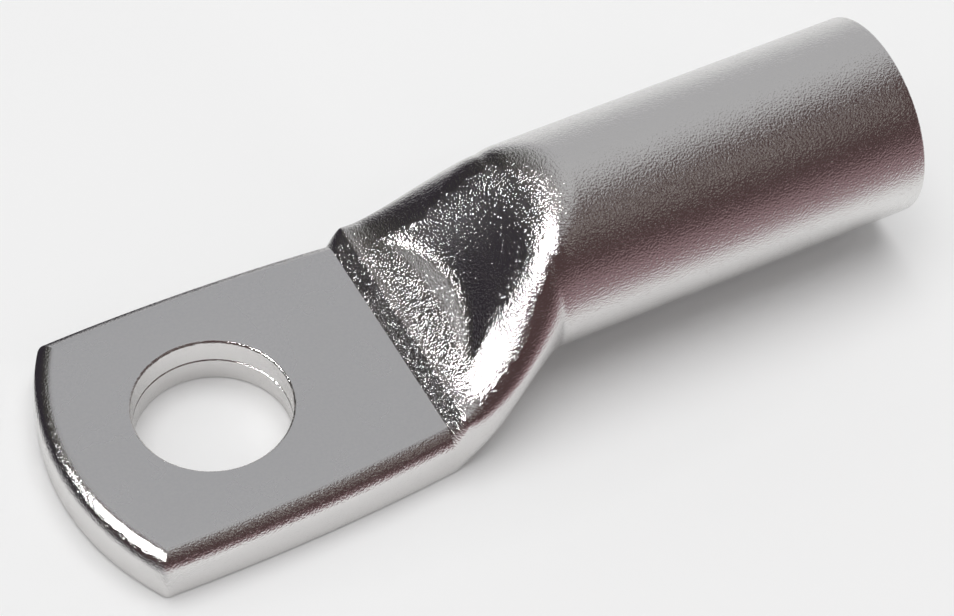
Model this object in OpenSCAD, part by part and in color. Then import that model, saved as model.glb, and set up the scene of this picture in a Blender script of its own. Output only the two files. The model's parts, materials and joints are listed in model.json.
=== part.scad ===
// Crimp cable lug: a length of copper tube, one end flattened into a bolting palm.
// Millimetres. The bolt hole's centre on the palm's underside is the origin,
// +X runs to the mouth of the barrel and +Z stands up from the palm.

/* [Tube] */
// Outside diameter of the tube
tube_od = 14; // [12:0.5:20]
// Wall thickness of the tube; the palm is two walls thick
wall = 1.9; // [1.4:0.1:2.4]
// Length of plain round barrel past the neck
barrel_len = 24.8; // [12:0.1:50]
// Lift of the barrel's underside above the palm's underside
barrel_lift = 0.7; // [0:0.1:2]

/* [Palm] */
// Diameter of the bolt hole
bolt_hole_d = 10.5; // [5:0.1:12]
// Metal between the bolt hole and the tip of the palm
tip_margin = 5.7; // [3:0.1:10]
// Metal between the bolt hole and the foot of the neck
neck_margin = 7.5; // [5:0.1:14]
// Radius of the palm's curved end
end_radius = 18.6; // [14:0.1:40]
// Depth of the roll-over along the palm's top edges
edge_roll = 1.4; // [0.6:0.1:1.4]

/* [Neck] */
// Height of the pressed step at the foot of the neck
step_rise = 1.1; // [0.4:0.1:1.2]
// Length of the pressed step
step_run = 1.05; // [0.8:0.05:1.4]
// Length of the sloping face pressed behind the step, up to its curved rim
face_run = 2.2; // [1.4:0.1:3]
// Rise of that face for each millimetre along the neck
face_slope = 0.7; // [0.4:0.02:0.9]
// Length of the shallow shelf between the rim and the hollow's back wall
shelf_run = 1.6; // [0.6:0.1:2.4]
// Length over which the neck swells from the step to the barrel's full width
neck_len = 8.2; // [7:0.1:14]
// Length of tube past the neck's full width over which the hollow runs out
hollow_tail = 2.8; // [1:0.1:5]

/* [Barrel mouth] */
// Chamfer round the inside of the mouth
mouth_chamfer = 0.4; // [0:0.1:0.6]
// Softening of the outside edge of the mouth
rim_round = 0.2; // [0.1:0.05:0.4]

/* [Hidden] */
eps = 0.02;

tube_r = tube_od / 2;
bore_r = tube_r - wall;
palm_t = 2 * wall;
// a flattened tube keeps its mid-wall length round the section
flat_w = PI * (tube_od - wall) / 2 + wall;
palm_hw = 0.488 * flat_w;
tip_x = -(bolt_hole_d / 2 + tip_margin);
foot_x = bolt_hole_d / 2 + neck_margin;
// the palm's sides draw in towards the neck along a long arc
draw_in = 0.072 * palm_hw;
side_x = -2;
side_radius = ((foot_x - side_x) * (foot_x - side_x) + draw_in * draw_in) / (2 * draw_in);
foot_hw = palm_hw - draw_in;

step_x = foot_x + step_run;
full_x = step_x + neck_len;
round_x = full_x + hollow_tail;
mouth_x = round_x + barrel_len;
axis_z = tube_r + barrel_lift;
step_top = palm_t + step_rise;

// share of the way along the neck, 0 at the step's top and 1 at full width
function along(x) = min(max((x - step_x) / neck_len, 0), 1);
// the same with its upper end rounded off
soft = min(0.12, hollow_tail / neck_len);
function along_soft(x) =
    let (s = max((x - step_x) / neck_len, 0))
    s <= 1 - soft ? s : s >= 1 + soft ? 1 : s - pow(s - 1 + soft, 2) / (4 * soft);
// an even ease from 0 to 1
function ease(s) = s <= 0 ? 0 : s >= 1 ? 1 : s * s * (3 - 2 * s);

// outside of the neck at a distance x along the lug: the section goes from a flat box to a
// circle while it narrows, and its widest place stays above half height
function half_w(x) = foot_hw - (foot_hw - tube_r) * pow(along(x), 1.83);
function low_z(x) = barrel_lift * ease(along(x));
function step_share(x) = min(max((x - foot_x) / step_run, 0), 1);
function high_z(x) =
    palm_t + step_rise * step_share(x)
    + (2 * tube_r + barrel_lift - step_top) * pow(along_soft(x), 1.3);
function mid_z(x) = low_z(x) + (high_z(x) - low_z(x)) * (0.5 + 0.1 * sin(180 * along(x)));
// squareness of the section above and below its widest place: 2 is round, more is boxier
function top_power(x) = 2 + 5.5 * pow(1 - along(x), 5) + 9 * pow(1 - step_share(x), 2);
function low_power(x) = 2 + 4.2 * pow(1 - along(x), 3) + 30 * pow(1 - step_share(x), 2);

// face of the press that flattens the tube, at a distance x along the lug and y across it:
// a slope from the step to a rim bowed towards the barrel, a shelf, and a back wall that
// climbs to the top of the barrel; the tube is left full on both sides of it
shelf_slope = 0.4;
hollow_end = full_x + 0.4 * hollow_tail;
shelf_top = step_top + face_slope * face_run + shelf_slope * shelf_run;
wall_slope = (2 * tube_r + barrel_lift - shelf_top) / (hollow_end - step_x - face_run - shelf_run);
function bow(y, share) = max(1 - share * pow(y / foot_hw, 2), 0);
function rim_x(y) = step_x + face_run * bow(y, 1);
function wall_x(y) = max(rim_x(y), step_x + (face_run + shelf_run) * bow(y, 1.35));
function press_z(x, y) =
    step_top + face_slope * (min(x, rim_x(y)) - step_x) + shelf_slope * max(x - rim_x(y), 0)
    + (wall_slope - shelf_slope) * max(x - wall_x(y), 0);
// the lower of two heights, blended over r where they cross
function lower(a, b, r) = min(a, b) - pow(max(r - abs(a - b), 0), 2) / (4 * r);
function blend(x) = 0.1 + 0.9 * along(x);

// closed section of the neck, drawn in by g all round
ring_n = 88;
function reach(a, power) = pow(pow(abs(cos(a)), power) + pow(abs(sin(a)), power), -1 / power);
function section(x, g) =
    let (w = half_w(x) - g, mid = mid_z(x), up = high_z(x) - mid - g, down = mid - low_z(x) - g)
    [for (i = [0 : ring_n - 1])
        let (a = i * 360 / ring_n, r = reach(a, a < 180 ? top_power(x) : low_power(x)))
        [w * r * cos(a), mid + (a < 180 ? up : down) * r * sin(a)]];
// plain oval about the section's middle, for the ends that lie out of sight
function oval(x, w, h) =
    [for (i = [0 : ring_n - 1]) let (a = i * 360 / ring_n)
        [w * cos(a), mid_z(x) + h * sin(a)]];
// a section with its upper half under the press; a gap lowers the press for the tube's inside,
// where the two walls keep a slit open between them
slit = 0.2;
function pressed(x, pts, gap) =
    [for (i = [0 : ring_n - 1])
        let (p = pts[i], z = max(press_z(x, p[0]) - gap, mid_z(x) + (gap > 0 ? slit : 0)))
        i * 2 > ring_n ? p : [p[0], lower(p[1], z, blend(x))]];

// skin through a list of closed sections of equal length, each [x, points]
module skin(rings) {
    n = len(rings[0][1]);
    m = len(rings);
    pts = [for (r = rings) for (p = r[1]) [r[0], p[0], p[1]]];
    walls = [for (i = [0 : m - 2]) for (j = [0 : n - 1])
        let (k = (j + 1) % n)
        each [[i * n + j, (i + 1) * n + k, i * n + k], [i * n + j, (i + 1) * n + j, (i + 1) * n + k]]];
    ends = [[for (j = [0 : n - 1]) j], [for (j = [n - 1 : -1 : 0]) (m - 1) * n + j]];
    polyhedron(points = pts, faces = concat(walls, ends), convexity = 6);
}

step_steps = 4;
flare_steps = 30;
tail_steps = 6;
function neck_x(i) =
    i <= flare_steps ? step_x + neck_len * pow(i / flare_steps, 1.25)
    : full_x + hollow_tail * (i - flare_steps) / tail_steps;

module neck_outside() {
    skin(concat(
        [[foot_x - 1, oval(foot_x, 0.8 * foot_hw, 0.3 * palm_t)]],
        [for (i = [0 : step_steps - 1])
            [foot_x + step_run * i / step_steps, section(foot_x + step_run * i / step_steps, eps)]],
        [for (i = [0 : flare_steps + tail_steps])
            [neck_x(i), pressed(neck_x(i), section(neck_x(i), eps), 0)]],
        [[round_x + 1, section(round_x, 0.5)]]
    ));
}

// half-profile of a disc with a rolled upper edge
module rolled_profile(r) {
    intersection() {
        translate([0, 0]) square([r, palm_t]);
        union() {
            square([r, palm_t - edge_roll]);
            square([r - edge_roll, palm_t]);
            translate([r - edge_roll, palm_t - edge_roll]) circle(r = edge_roll);
        }
    }
}
module rolled_disc(r) {
    rotate_extrude() rolled_profile(r);
}

module palm() {
    intersection() {
        translate([tip_x + end_radius, 0, 0]) rolled_disc(end_radius);
        translate([side_x, palm_hw - side_radius, 0]) rolled_disc(side_radius);
        translate([side_x, side_radius - palm_hw, 0]) rolled_disc(side_radius);
        translate([tip_x - 1, -palm_hw - 1, -1])
            cube([foot_x + eps - tip_x + 1, 2 * palm_hw + 2, palm_t + 2]);
    }
}

// round barrel along +X, its outer rim softened
module barrel_outside() {
    translate([round_x - eps, 0, axis_z]) rotate([0, 90, 0]) {
        cylinder(r = tube_r, h = mouth_x - rim_round - round_x + eps);
        translate([0, 0, mouth_x - rim_round - round_x + eps])
            cylinder(r1 = tube_r, r2 = tube_r - rim_round, h = rim_round);
    }
}

module barrel_bore() {
    translate([round_x, 0, axis_z]) rotate([0, 90, 0]) {
        cylinder(r = bore_r, h = mouth_x - round_x + 1);
        translate([0, 0, mouth_x - round_x - mouth_chamfer])
            cylinder(r1 = bore_r, r2 = bore_r + mouth_chamfer, h = mouth_chamfer);
    }
}

// inside of the neck: the outside drawn in by the wall, from the step to the bore
cavity_steps = 14;
seat = 0.1;
function cavity_x(i) = step_x + (round_x - step_x) * i / cavity_steps;
function cavity(x, more) = section(x, wall + seat + more);
module neck_inside() {
    skin(concat(
        [[step_x - 0.3, oval(step_x, foot_hw - 2 * wall, 0.1)]],
        [for (i = [0 : cavity_steps])
            [cavity_x(i), pressed(cavity_x(i), cavity(cavity_x(i), 0), 1.6 * wall)]],
        [[round_x + 0.6, cavity(round_x, 0.2)]]
    ));
}

module cable_lug() {
    color([0.72, 0.72, 0.74]) difference() {
        union() {
            palm();
            neck_outside();
            barrel_outside();
        }
        barrel_bore();
        neck_inside();
        translate([0, 0, -1]) cylinder(d = bolt_hole_d, h = palm_t + 2);
    }
}

$fn = 96;

cable_lug();
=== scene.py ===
"""Tin-plated copper cable lug on a pale studio floor."""
import json
import math

import bmesh
import bpy
import numpy as np
from mathutils import Matrix, Vector
from mathutils.geometry import delaunay_2d_cdt


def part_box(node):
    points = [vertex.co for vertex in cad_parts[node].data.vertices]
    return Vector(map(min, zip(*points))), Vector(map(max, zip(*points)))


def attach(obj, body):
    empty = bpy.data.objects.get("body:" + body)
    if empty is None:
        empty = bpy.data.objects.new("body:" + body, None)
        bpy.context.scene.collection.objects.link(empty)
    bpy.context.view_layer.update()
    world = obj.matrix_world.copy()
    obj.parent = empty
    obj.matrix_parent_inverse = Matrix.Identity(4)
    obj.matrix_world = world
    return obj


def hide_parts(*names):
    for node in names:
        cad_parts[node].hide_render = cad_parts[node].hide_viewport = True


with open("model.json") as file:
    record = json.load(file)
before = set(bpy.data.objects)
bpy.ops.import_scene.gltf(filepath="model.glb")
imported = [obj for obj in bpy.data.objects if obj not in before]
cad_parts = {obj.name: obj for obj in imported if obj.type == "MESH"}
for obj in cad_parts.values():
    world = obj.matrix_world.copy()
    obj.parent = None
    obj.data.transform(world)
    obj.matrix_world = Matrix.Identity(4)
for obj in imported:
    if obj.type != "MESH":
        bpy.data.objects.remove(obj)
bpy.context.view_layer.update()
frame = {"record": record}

# ---------------------------------------------------------------- sizes, mm
MM = 0.001
low_corner, high_corner = (np.array(corner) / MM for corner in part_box("cable_lug"))
mounts = {m["name"]: m for m in frame["record"]["mounts"]}
HOLE_R = mounts["bolt_hole"]["dims"]["r_mm"]
PALM_T = mounts["bolt_hole"]["dims"]["length_mm"]
BORE_R = mounts["barrel_bore"]["dims"]["r_mm"]
AXIS_Z = mounts["barrel_bore"]["pos_m"][2] / MM
TUBE_R = high_corner[2] - AXIS_Z
LIFT = AXIS_Z - TUBE_R
TIP_X, MOUTH_X, PALM_HW = low_corner[0], high_corner[0], high_corner[1]
WALL = TUBE_R - BORE_R

END_R = 18.6                # curved end of the palm
SIDE_X = -2.0               # widest place of the palm
FOOT_X = 12.75              # foot of the neck
FOOT_HW = 0.928 * PALM_HW   # half-width there
EDGE_ROLL = 1.4             # rolled-over top edges
LOW_EDGE = 0.2              # softened lower edges
CORNER = 0.45               # rounding of the palm's corners, seen from above
HOLE_TOP, HOLE_LOW = 0.22, 0.12     # rounding of the bolt hole's edges
SEAM = 0.09                 # depth of the seam between the two walls, seen in the bolt hole
SEAM_HALF = 0.09            # half the height of the seam's opening
STEP_RISE, STEP_RUN = 1.1, 1.05     # step pressed at the foot of the neck
FACE_RUN, FACE_SLOPE = 2.2, 0.7     # sloping face behind it
SHELF_RUN, SHELF_SLOPE = 1.6, 0.4   # shelf behind its rim
RIM_BEND, WALL_BEND = 0.2, 0.5      # softening of the face's rim and of the shelf's back corner
NECK_LEN = 8.2              # from the step to the barrel's full width
TAIL = 2.8                  # run-out of the hollow past that width
NARROWING, RISING = 1.83, 1.3       # powers of the neck's half-width and top along its length
RIM = 0.2                   # softened outer edge of the mouth
MOUTH_CHAMFER = 0.4         # chamfer round the inside of the mouth
SLIT = 0.2                  # least height the cavity keeps above its middle

SIDE_R = ((FOOT_X - SIDE_X) ** 2 + (PALM_HW - FOOT_HW) ** 2) / (2 * (PALM_HW - FOOT_HW))
STEP_X = FOOT_X + STEP_RUN
FULL_X = STEP_X + NECK_LEN
ROUND_X = FULL_X + TAIL
SHELF_TOP = PALM_T + STEP_RISE + FACE_SLOPE * FACE_RUN + SHELF_SLOPE * SHELF_RUN
HOLLOW_END = FULL_X + 0.4 * TAIL
WALL_SLOPE = (2 * TUBE_R + LIFT - SHELF_TOP) / (HOLLOW_END - STEP_X - FACE_RUN - SHELF_RUN)
HOLE_ANGLES = np.linspace(0, 2 * math.pi, 96, endpoint=False)


# ---------------------------------------------------------------- camera and stage
def add_camera():
    """Camera at the photo's viewing angle, aimed near the middle of the lug."""
    data = bpy.data.cameras.new("camera")
    data.sensor_width = 36
    data.lens = 129.74
    data.clip_start, data.clip_end = 0.01, 20
    camera = bpy.data.objects.new("camera", data)
    bpy.context.scene.collection.objects.link(camera)
    azimuth, elevation, roll = math.radians(-30.0), math.radians(50.44), math.radians(2.72)
    distance, aim = 225.16 * MM, Vector((18.2, -2.06, 6.04)) * MM
    back = Vector((math.sin(azimuth) * math.cos(elevation),
                   -math.cos(azimuth) * math.cos(elevation), math.sin(elevation)))
    right = Vector((math.cos(azimuth), math.sin(azimuth), 0))
    up = back.cross(right)
    right, up = (right * math.cos(roll) + up * math.sin(roll),
                 up * math.cos(roll) - right * math.sin(roll))
    place = aim + back * distance
    camera.matrix_world = Matrix(((right.x, up.x, back.x, place.x),
                                  (right.y, up.y, back.y, place.y),
                                  (right.z, up.z, back.z, place.z),
                                  (0, 0, 0, 1)))
    bpy.context.scene.camera = camera


def new_material(name):
    material = bpy.data.materials.new(name)
    material.use_nodes = True
    return material, material.node_tree.nodes, material.node_tree.links


def add_floor():
    """Matt pale floor, 6 m square."""
    bpy.ops.mesh.primitive_plane_add(size=6)
    floor = bpy.context.object
    floor.name = "floor"
    material, nodes, _ = new_material("floor")
    shader = nodes["Principled BSDF"]
    shader.inputs["Base Color"].default_value = (0.9, 0.9, 0.9, 1)
    shader.inputs["Roughness"].default_value = 0.9
    floor.data.materials.append(material)


def add_lamp(name, place, target, size, power):
    """Round area lamp; places and sizes in metres, power in watts."""
    light = bpy.data.lights.new(name, "AREA")
    light.shape = "DISK"
    light.size = size
    light.energy = power
    lamp = bpy.data.objects.new(name, light)
    lamp.location = place
    lamp.rotation_euler = (Vector(target) - Vector(place)).to_track_quat("-Z", "Y").to_euler()
    bpy.context.scene.collection.objects.link(lamp)
    return lamp


def add_world():
    """Even white light from all round."""
    world = bpy.data.worlds.new("world")
    world.use_nodes = True
    world.node_tree.nodes["Background"].inputs["Color"].default_value = (1, 1, 1, 1)
    world.node_tree.nodes["Background"].inputs["Strength"].default_value = 0.45
    bpy.context.scene.world = world


# ---------------------------------------------------------------- material
GRAIN_SCALE, SPECK_SCALE, CLOUD_SCALE = 7200, 5200, 240     # noise scales, per metre
GRAIN_HEIGHT = 0.00005              # metres
PALM_GRAIN, PALM_ROUGH = 0.12, 0.14     # share of the grain and added roughness on the flat palm


def tin_plate():
    """Satin tin over copper: a grain in the plating, flatter and rougher on the palm's top, where
    the colour is also darker as a painted shade.
    """
    material, nodes, links = new_material("tin_plate")
    shader = nodes["Principled BSDF"]
    shader.inputs["Metallic"].default_value = 1
    coords = nodes.new("ShaderNodeTexCoord")

    def noise(scale, detail):
        node = nodes.new("ShaderNodeTexNoise")
        node.inputs["Scale"].default_value = scale
        node.inputs["Detail"].default_value = detail
        links.new(coords.outputs["Object"], node.inputs["Vector"])
        return node.outputs["Fac"]

    def remap(value, from_min, from_max, to_min, to_max, smooth=False):
        node = nodes.new("ShaderNodeMapRange")
        if smooth:
            node.interpolation_type = "SMOOTHSTEP"
        for name, number in (("From Min", from_min), ("From Max", from_max),
                             ("To Min", to_min), ("To Max", to_max)):
            node.inputs[name].default_value = number
        links.new(value, node.inputs["Value"])
        return node.outputs["Result"]

    def math_node(operation, a, b):
        node = nodes.new("ShaderNodeMath")
        node.operation = operation
        for socket, value in zip(node.inputs, (a, b)):
            if isinstance(value, (int, float)):
                socket.default_value = value
            else:
                links.new(value, socket)
        return node.outputs[0]

    geometry = nodes.new("ShaderNodeNewGeometry")
    normal = nodes.new("ShaderNodeSeparateXYZ")
    links.new(geometry.outputs["Normal"], normal.inputs[0])
    place = nodes.new("ShaderNodeSeparateXYZ")
    links.new(coords.outputs["Object"], place.inputs[0])
    on_palm = remap(place.outputs["X"], (FOOT_X + 0.3) * MM, FOOT_X * MM, 0, 1)
    # flat marks the palm's upward-facing top: the grain is lessened and the roughness raised
    # there, and the colour darkened as a painted shade
    flat = math_node("MULTIPLY", on_palm, remap(normal.outputs["Z"], 0.9, 0.99, 0, 1, True))

    grain = noise(GRAIN_SCALE, 2)
    cloud = noise(CLOUD_SCALE, 4)
    height = math_node("MULTIPLY", grain, remap(flat, 0, 1, 1, PALM_GRAIN))
    bump = nodes.new("ShaderNodeBump")
    bump.inputs["Distance"].default_value = GRAIN_HEIGHT
    bump.inputs["Strength"].default_value = 1
    links.new(height, bump.inputs["Height"])
    links.new(bump.outputs["Normal"], shader.inputs["Normal"])
    rough = math_node("ADD", remap(cloud, 0.3, 0.7, 0.11, 0.17), remap(flat, 0, 1, 0, PALM_ROUGH))
    links.new(rough, shader.inputs["Roughness"])

    # Base colour: pale tin with random specks, darker on the palm's flat top, which is a painted
    # shade
    tone = nodes.new("ShaderNodeMix")
    tone.data_type = "RGBA"
    tone.inputs["A"].default_value = (0.78, 0.77, 0.76, 1)
    tone.inputs["B"].default_value = (0.66, 0.66, 0.67, 1)
    specks = remap(noise(SPECK_SCALE, 2), 0.35, 0.65, -0.1, 0.1)
    painted_shade_and_specks = math_node("ADD", math_node("MULTIPLY", flat, 0.75), specks)
    links.new(painted_shade_and_specks, tone.inputs["Factor"])
    links.new(tone.outputs["Result"], shader.inputs["Base Color"])
    return material


# ---------------------------------------------------------------- outside of the neck and barrel
def ease(value):
    """Even ease from 0 to 1."""
    value = np.clip(value, 0, 1)
    return value * value * (3 - 2 * value)


def hinge(value, soft):
    """0 below 0 and the value above it, with the bend rounded over soft either side."""
    bend = (np.clip(value + soft, 0, 2 * soft)) ** 2 / (4 * soft)
    return np.where(value > soft, value, bend)


def lower_of(a, b, soft):
    """The lower of two heights, blended over soft where they cross."""
    return np.minimum(a, b) - np.maximum(soft - np.abs(a - b), 0) ** 2 / (4 * soft)


def press_z(x, y):
    """Face of the press: a slope up to a bowed rim, a shelf, and the hollow's back wall."""
    bow = (y / FOOT_HW) ** 2
    rim = STEP_X + FACE_RUN * np.maximum(1 - bow, 0)
    wall = np.maximum(rim, STEP_X + (FACE_RUN + SHELF_RUN) * np.maximum(1 - 1.35 * bow, 0))
    return (PALM_T + STEP_RISE + FACE_SLOPE * (x - STEP_X)
            - (FACE_SLOPE - SHELF_SLOPE) * hinge(x - rim, RIM_BEND)
            + (WALL_SLOPE - SHELF_SLOPE) * hinge(x - wall, WALL_BEND))


def box_reach(c, s, half_w, half_h, radius):
    """How far along (half_w c, half_h s) the edge of a box with rounded corners lies."""
    dx, dy = half_w * np.abs(c), half_h * np.abs(s)
    cx, cy = half_w - radius, half_h - radius
    flat = np.minimum(half_w / np.maximum(dx, 1e-9), half_h / np.maximum(dy, 1e-9))
    dot, size = dx * cx + dy * cy, dx * dx + dy * dy
    root = np.sqrt(np.maximum(dot * dot - size * (cx * cx + cy * cy - radius * radius), 0))
    on_flat = (flat * dx <= cx + 1e-9) | (flat * dy <= cy + 1e-9)
    return np.where(on_flat, flat, (dot + root) / size)


def section(x, inset=0.0):
    """Outside of the neck or barrel at x, drawn in by inset: points (x, y, z), anticlockwise.

    The section goes from a box with rounded corners at the foot, through an oval that is boxier
    the nearer it is to the palm, to a circle, and its widest place stays above half height.
    """
    share = (x - STEP_X) / NECK_LEN
    t = float(np.clip(share - hinge(share - 1, 0.02), 0, 1))
    t_top = float(np.clip(share - hinge(share - 1, 0.12), 0, 1))
    pressed = (x - FOOT_X) / STEP_RUN
    step = float(hinge(pressed, 0.08) - hinge(pressed - 1, 0.1))
    bottom = LIFT * float(ease(t))
    top = PALM_T + STEP_RISE * step + (2 * TUBE_R + LIFT - PALM_T - STEP_RISE) * t_top ** RISING
    middle = bottom + (top - bottom) * (0.5 + 0.1 * math.sin(math.pi * t))
    half_w = FOOT_HW - (FOOT_HW - TUBE_R) * t ** NARROWING
    turn, boxy = float(ease((x - FOOT_X) / 9)), 1 - float(ease((x - FOOT_X) / 2.5))
    angle = BOX_ANGLES * (1 - turn) + ROUND_ANGLES * turn
    c, s = np.cos(angle), np.sin(angle)
    upper = s > 0
    power = np.where(upper, 2 + 5.5 * (1 - t) ** 5, 2 + 4.2 * (1 - t) ** 3)
    half_h = np.where(upper, top - middle, middle - bottom) - inset
    half_w -= inset
    reach = (np.abs(c) ** power + np.abs(s) ** power) ** (-1 / power)
    if boxy > 0:
        corner = np.where(upper, EDGE_ROLL - (EDGE_ROLL - 0.5) * min(max(pressed, 0), 1), LOW_EDGE)
        reach = reach * (1 - boxy) + box_reach(c, s, half_w, half_h, corner) * boxy
    y, z = half_w * reach * c, middle + half_h * reach * s
    if x > STEP_X:
        face = press_z(x, y)
        if inset:
            face = np.maximum(face - 1.6 * inset, middle + SLIT)
        soft = 0.12 + 3.4 * t ** 2.5
        z = np.where(upper, lower_of(z, face, soft), z)
    return np.stack([np.full_like(y, x), y, z], axis=1)


# ---------------------------------------------------------------- palm
def edge_profile():
    """The palm's edge from its underside to its top face: (inset from the side, height)."""
    low = [(LOW_EDGE * (1 - math.cos(a)), LOW_EDGE * (1 - math.sin(a)))
           for a in np.linspace(math.pi / 2, 0, 5)]
    side = [(0, z) for z in np.linspace(LOW_EDGE, PALM_T - EDGE_ROLL, 6)[1:-1]]
    roll = [(EDGE_ROLL * (1 - math.cos(a)), PALM_T - EDGE_ROLL * (1 - math.sin(a)))
            for a in np.linspace(0, math.pi / 2, 16)]
    return low + side + roll


def circle_meet(ax, ay, ra, bx, by, rb):
    """Where two circles meet, at the one of the two places that is nearer the palm's tip."""
    gap = math.hypot(bx - ax, by - ay)
    along = (ra * ra - rb * rb + gap * gap) / (2 * gap)
    off = math.sqrt(ra * ra - along * along)
    ux, uy = (bx - ax) / gap, (by - ay) / gap
    meets = [(ax + along * ux - side * off * uy, ay + along * uy + side * off * ux)
             for side in (1, -1)]
    return min(meets, key=lambda p: p[0])


def arc(cx, cy, radius, start, stop, count):
    """Points on an arc round (cx, cy), its angles in radians."""
    return [(cx + radius * math.cos(a), cy + radius * math.sin(a))
            for a in np.linspace(start, stop, count)]


def foot_y(inset):
    """Half-width at the foot of the palm's outline drawn in by inset."""
    return math.sqrt((SIDE_R - inset) ** 2 - (FOOT_X - SIDE_X) ** 2) - SIDE_R + PALM_HW


def palm_outline(inset):
    """Plan outline of the palm drawn in by inset, from the foot round the tip and back."""
    ax, ay = SIDE_X, SIDE_R - PALM_HW
    bx = TIP_X + END_R
    fillet = max(CORNER - inset, 0.03)
    cx, cy = circle_meet(ax, ay, SIDE_R - inset - fillet, bx, 0, END_R - inset - fillet)
    start = math.atan2(-math.sqrt((SIDE_R - inset) ** 2 - (FOOT_X - ax) ** 2), FOOT_X - ax)
    turn_in, turn_out = math.atan2(cy - ay, cx - ax), math.atan2(cy, cx - bx)
    half = (arc(ax, ay, SIDE_R - inset, start, turn_in, 40)
            + arc(cx, cy, fillet, turn_in, turn_out, 8)[1:]
            + arc(bx, 0, END_R - inset, turn_out, -math.pi, 30)[1:])
    half[0] = (FOOT_X, -foot_y(inset))
    return half + [(x, -y) for x, y in reversed(half[:-1])]


def foot_section():
    """The palm's section at the foot of the neck, (y, z), anticlockwise from the underside."""
    low = np.linspace(0, foot_y(LOW_EDGE), 31)[:-1]
    high = np.linspace(foot_y(EDGE_ROLL), 0, 46)[1:]
    side = [(foot_y(inset), z) for inset, z in edge_profile()]
    right = [(y, 0) for y in low] + side + [(y, PALM_T) for y in high]
    return np.array(right + [(-y, z) for y, z in reversed(right[1:-1])])


class Skin:
    """Points and faces of one closed surface, in millimetres."""

    def __init__(self):
        self.points, self.faces = [], []

    def add(self, points):
        """Takes in the points and gives back their numbers."""
        first = len(self.points)
        self.points.extend(tuple(map(float, p)) for p in points)
        return list(range(first, len(self.points)))

    def bridge(self, a, b, closed):
        """A band of faces between two rows of equal length."""
        count = len(a)
        for i in range(count if closed else count - 1):
            j = (i + 1) % count
            self.faces.append((a[i], a[j], b[j], b[i]))

    def loft(self, rings, closed=True):
        """Bands through a list of rows; a closed row joins its last point to its first."""
        rows = [self.add(ring) for ring in rings]
        for a, b in zip(rows, rows[1:]):
            self.bridge(a, b, closed)
        return rows

    def fill(self, outline, hole_r, z):
        """Flat face inside an outline, round the bolt hole."""
        hole = [(hole_r * math.cos(a), hole_r * math.sin(a)) for a in HOLE_ANGLES]
        flat = [Vector(p) for p in list(outline) + hole]
        count, total = len(outline), len(flat)
        edges = ([(i, (i + 1) % count) for i in range(count)]
                 + [(i, i + 1 if i + 1 < total else count) for i in range(count, total)])
        points, _, faces, *_ = delaunay_2d_cdt(flat, edges, [], 0, 1e-7)
        index = self.add([(p.x, p.y, z) for p in points])
        for face in faces:
            middle = sum((points[i] for i in face), Vector((0, 0))) / len(face)
            if middle.length > hole_r:
                self.faces.append([index[i] for i in face])


def hole_profile():
    """Wall of the bolt hole from the top face to the underside: (radius, height)."""
    seam = [(HOLE_R + SEAM * math.cos(a) ** 2, PALM_T / 2 + SEAM_HALF * math.sin(a))
            for a in np.linspace(math.pi / 2, -math.pi / 2, 9)]
    top = [(HOLE_R + HOLE_TOP * (1 - math.sin(a)), PALM_T - HOLE_TOP * (1 - math.cos(a)))
           for a in np.linspace(0, math.pi / 2, 7)]
    low = [(HOLE_R + HOLE_LOW * (1 - math.cos(a)), HOLE_LOW * (1 - math.sin(a)))
           for a in np.linspace(0, math.pi / 2, 5)]
    return top + [(HOLE_R, 2.7)] + seam + [(HOLE_R, 1.0)] + low


def tube_ring(x, radius):
    """Circle round the barrel's axis."""
    y, z = radius * np.cos(ROUND_ANGLES), AXIS_Z + radius * np.sin(ROUND_ANGLES)
    return np.stack([np.full(len(ROUND_ANGLES), x), y, z], 1)


def lug_skin():
    """The whole lug: the palm's edge, two faces and hole, then one loft out along the neck and
    barrel, in at the mouth and back along the bore to the closed end of the cavity."""
    skin = Skin()
    profile = edge_profile()
    skin.loft([[(x, y, z) for x, y in palm_outline(inset)] for inset, z in profile], closed=False)
    for (inset, z), hole_r in ((profile[-1], HOLE_R + HOLE_TOP), (profile[0], HOLE_R + HOLE_LOW)):
        across = [(FOOT_X, y) for y, height in FOOT_SECTION
                  if abs(height - z) < 1e-9 and abs(y) < foot_y(inset) - 1e-6]
        across.sort(key=lambda p: -p[1])
        skin.fill(palm_outline(inset) + across, hole_r, z)
    skin.loft([[(r * math.cos(a), r * math.sin(a), z) for a in HOLE_ANGLES]
               for r, z in hole_profile()])

    foot = np.column_stack([np.full(len(FOOT_SECTION), FOOT_X), FOOT_SECTION])
    # rings along the step crowd at its two bends
    pressed = FOOT_X + STEP_RUN * np.array([0.04, 0.1, 0.2, 0.4, 0.6, 0.8, 0.9, 0.96, 1.02, 1.1])
    neck = np.linspace(STEP_X + 0.2, ROUND_X + 3, 100)
    barrel = np.linspace(ROUND_X + 3, MOUTH_X - RIM, 24)[1:]
    outside = [foot] + [section(x) for x in (*pressed, *neck)]
    outside += [tube_ring(x, TUBE_R) for x in barrel]
    outside += [tube_ring(MOUTH_X - RIM * (1 - math.sin(a)), TUBE_R - RIM * (1 - math.cos(a)))
                for a in np.linspace(0, math.pi / 2, 6)[1:]]
    bore = [tube_ring(MOUTH_X, BORE_R + MOUTH_CHAMFER), tube_ring(MOUTH_X - MOUTH_CHAMFER, BORE_R)]
    bore += [tube_ring(x, BORE_R) for x in np.linspace(MOUTH_X - 1, ROUND_X, 16)]
    cavity = [section(x, WALL) for x in np.linspace(ROUND_X, STEP_X + 0.6, 30)[1:]]
    rows = skin.loft(outside + bore + cavity)
    skin.faces.append(rows[-1])
    return skin


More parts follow.
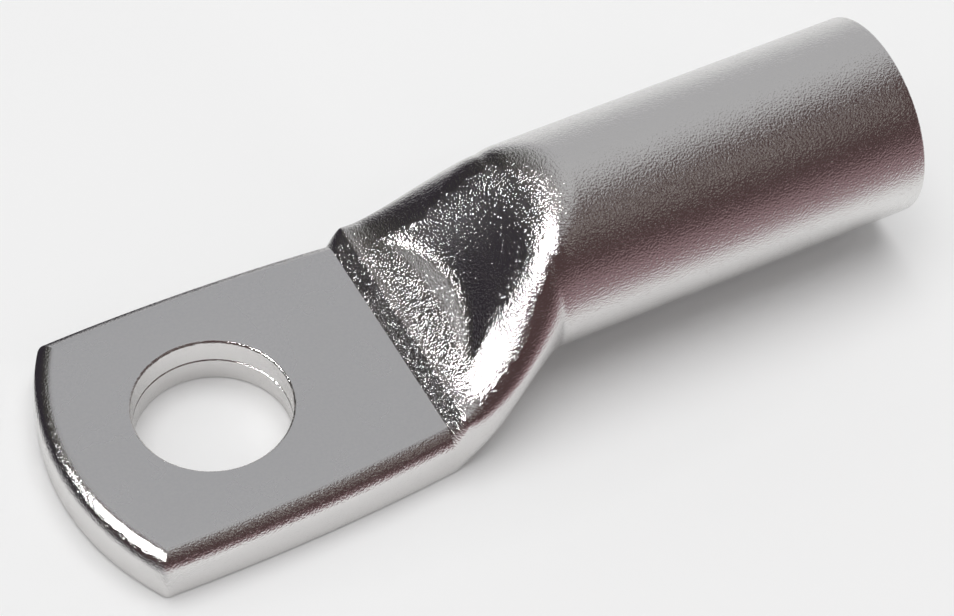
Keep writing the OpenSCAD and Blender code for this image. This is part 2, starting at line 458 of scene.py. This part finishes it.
# Every ring has as many points as the foot's section. Near the foot they lie at the angles of
# that section's points, and farther on they are spread evenly.
FOOT_SECTION = foot_section()
BOX_ANGLES = np.unwrap(np.arctan2(FOOT_SECTION[:, 1] / (PALM_T / 2) - 1,
                                  FOOT_SECTION[:, 0] / FOOT_HW))
ROUND_ANGLES = np.linspace(0, 2 * math.pi, len(FOOT_SECTION), endpoint=False) - math.pi / 2


def add_lug(material):
    """The lug's one closed mesh, in place of the CAD solid."""
    skin = lug_skin()
    mesh = bpy.data.meshes.new("lug")
    mesh.from_pydata([(x * MM, y * MM, z * MM) for x, y, z in skin.points], [], skin.faces)
    work = bmesh.new()
    work.from_mesh(mesh)
    bmesh.ops.remove_doubles(work, verts=work.verts, dist=1e-6)
    bmesh.ops.recalc_face_normals(work, faces=work.faces)
    work.to_mesh(mesh)
    work.free()
    mesh.polygons.foreach_set("use_smooth", [True] * len(mesh.polygons))
    mesh.set_sharp_from_angle(angle=math.radians(32))
    mesh.materials.append(material)
    lug = bpy.data.objects.new("lug", mesh)
    bpy.context.scene.collection.objects.link(lug)
    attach(lug, "root")
    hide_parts("cable_lug")


# ---------------------------------------------------------------- light
def glow_material(name):
    """Emission that shows the mesh's own "tone" colours."""
    material, nodes, links = new_material(name)
    nodes.clear()
    out = nodes.new("ShaderNodeOutputMaterial")
    glow = nodes.new("ShaderNodeEmission")
    tone = nodes.new("ShaderNodeAttribute")
    tone.attribute_name = "tone"
    links.new(tone.outputs["Color"], glow.inputs["Color"])
    links.new(glow.outputs[0], out.inputs[0])
    return material


def add_card(name, points, tones, rows, columns):
    """Grid of points that only reflections see, coloured point by point."""
    corners = [i * columns + j for i in range(rows - 1) for j in range(columns - 1)]
    faces = [(k, k + 1, k + columns + 1, k + columns) for k in corners]
    mesh = bpy.data.meshes.new(name)
    mesh.from_pydata(points, [], faces)
    colours = mesh.color_attributes.new("tone", "FLOAT_COLOR", "POINT")
    colours.data.foreach_set("color", np.column_stack([tones, np.ones(len(tones))]).ravel())
    mesh.materials.append(glow_material(name))
    card = bpy.data.objects.new(name, mesh)
    bpy.context.scene.collection.objects.link(card)
    card.visible_camera = card.visible_diffuse = card.visible_shadow = False


def fade(value, start, stop):
    """0 at start and 1 at stop, with a last axis added for the colour."""
    return ease((value - start) / (stop - start))[..., None]


MIDDLE_X = 18                       # mm, middle of the lug, which the cards stand round
DOME_R = 0.6                        # metres
CARD_Z = 0.2                        # mm above the floor
LIGHT = np.array((0.50, 0.50, 0.51))
HIGH = np.array((0.56, 0.56, 0.56))
BROWN = np.array((0.085, 0.053, 0.053))
BLACK = np.array((0.035, 0.03, 0.038))
OLIVE = np.array((0.06, 0.06, 0.045))
SPOT = np.array((0.42, 0.43, 0.40))
MAUVE = np.array((0.30, 0.20, 0.215))


def studio_tone(azimuth, elevation):
    """What the metal mirrors: a pale back and top, and a dark room round the camera."""
    azimuth = (azimuth + 180) % 360 - 180
    round_front = np.abs((azimuth + 112 + 180) % 360 - 180)    # angle from the camera's side
    tone = LIGHT + (HIGH - LIGHT) * fade(elevation, 40, 90)
    front = (1 - fade(round_front, 112, 124)) * (1 - fade(elevation, 68, 76))
    tone = tone * (1 - front) + BROWN * front
    # the spot lies at azimuth -60 and elevation 50, where a degree round is 0.64 of one up
    off_spot = np.hypot((azimuth + 60) * 0.64, elevation - 50)
    tone = tone + SPOT * (1 - fade(off_spot, 4, 13))
    back_left = fade(azimuth, 84, 100) * (1 - fade(elevation, 36, 46))
    dark = BLACK + (OLIVE - BLACK) * fade(elevation, 12, 32)
    return tone * (1 - back_left) + dark * back_left


def floor_tone(x, y):
    """The same for low reflections: pale behind, mauve in front and dark to the left."""
    azimuth = np.degrees(np.arctan2(y, x - MIDDLE_X))
    tone = np.full(x.shape + (3,), 0.85)
    front = 1 - fade(y, -19, -16)
    tone = tone * (1 - front) + MAUVE * front
    left = np.maximum(fade(azimuth, 84, 100), 1 - fade(azimuth, -170, -150))
    return tone * (1 - left) + BLACK * left


def add_cards():
    """A dome round the lug and a sheet on the floor that starts just outside it."""
    azimuth, elevation = np.meshgrid(np.linspace(-180, 180, 121), np.linspace(-1.5, 90, 62))
    a, e = np.radians(azimuth), np.radians(elevation)
    points = np.stack([MIDDLE_X * MM + DOME_R * np.cos(e) * np.cos(a),
                       DOME_R * np.cos(e) * np.sin(a), DOME_R * np.sin(e)], -1)
    add_card("dome_card", points.reshape(-1, 3).tolist(),
             studio_tone(azimuth, elevation).reshape(-1, 3), *azimuth.shape)
    around, out = np.meshgrid(np.linspace(-np.pi, np.pi, 161), np.linspace(0, 1, 40) ** 2)
    reach_x, reach_y = 36 + 560 * out, 16 + 580 * out
    x, y = MIDDLE_X + reach_x * np.cos(around), reach_y * np.sin(around)
    points = np.stack([x * MM, y * MM, np.full(x.shape, CARD_Z * MM)], -1)
    add_card("floor_card", points.reshape(-1, 3).tolist(),
             floor_tone(x, y).reshape(-1, 3), *x.shape)


# ---------------------------------------------------------------- build
bpy.context.scene.view_settings.view_transform = "Standard"
add_camera()
add_world()
add_floor()
add_cards()
add_lamp("overhead", (0.1, 0.1, 1.2), (0.02, 0, 0), 1.2, 9.5).visible_glossy = False
add_lamp("left", (-0.347, 0.048, 0.347), (0.02, 0, 0.005), 0.1, 1.2).visible_diffuse = False
add_lug(tin_plate())
